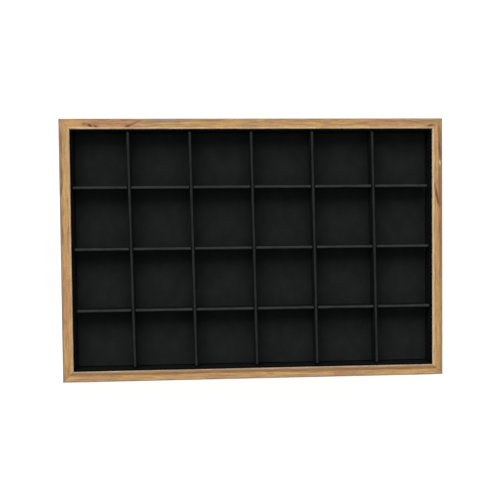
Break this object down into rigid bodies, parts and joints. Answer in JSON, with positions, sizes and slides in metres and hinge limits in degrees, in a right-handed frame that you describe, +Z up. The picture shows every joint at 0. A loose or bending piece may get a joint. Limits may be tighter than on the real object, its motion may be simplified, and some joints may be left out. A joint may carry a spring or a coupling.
{
  "type": "jewelry display tray",
  "caption": "Shallow mitred wooden tray lined with black microfibre, with a loose egg-crate of cloth-covered boards that makes near-square cells for small jewelry.",
  "frame": {"origin": "middle of the tray's length and depth, on the table it stands on", "axes": "+X along the length to the right of the picture, +Y to the back (the top of the picture), +Z up out of the open side"},
  "size_m": [0.35, 0.238, 0.025],
  "materials": {
    "rail_wood": "satin clear lacquer on honey-brown solid wood",
    "microfibre": "matt black brushed microfibre",
    "card": "plain greyboard",
    "foam": "thin soft foam sheet",
    "panel_board": "plain thin fibreboard",
    "felt": "thin black felt",
    "steel": "bright steel wire and strip"
  },
  "bodies": {
    "tray": {"rail_front": "rail_wood", "rail_back": "rail_wood", "rail_left": "rail_wood", "rail_right": "rail_wood", "corner_v_nails": "steel", "base_panel": "panel_board", "base_staples": "steel", "bottom_felt": "felt", "floor_board": "card", "floor_foam": "foam", "floor_cloth": "microfibre", "liner_card_front": "card", "liner_card_back": "card", "liner_card_left": "card", "liner_card_right": "card", "liner_cloth_front": "microfibre", "liner_cloth_back": "microfibre", "liner_cloth_left": "microfibre", "liner_cloth_right": "microfibre"},
    "divider_grid": {"long_divider_board_1": "card", "long_divider_board_2": "card", "long_divider_board_3": "card", "long_divider_cover_1": "microfibre", "long_divider_cover_2": "microfibre", "long_divider_cover_3": "microfibre", "cross_divider_board_1": "card", "cross_divider_board_2": "card", "cross_divider_board_3": "card", "cross_divider_board_4": "card", "cross_divider_board_5": "card", "cross_divider_cover_1": "microfibre", "cross_divider_cover_2": "microfibre", "cross_divider_cover_3": "microfibre", "cross_divider_cover_4": "microfibre", "cross_divider_cover_5": "microfibre"}
  },
  "joints": [
    {"name": "grid_lift", "type": "slide", "parent": "tray", "child": "divider_grid", "axis": [0, 0, 1], "range_m": [0, 0.03]}
  ]
}
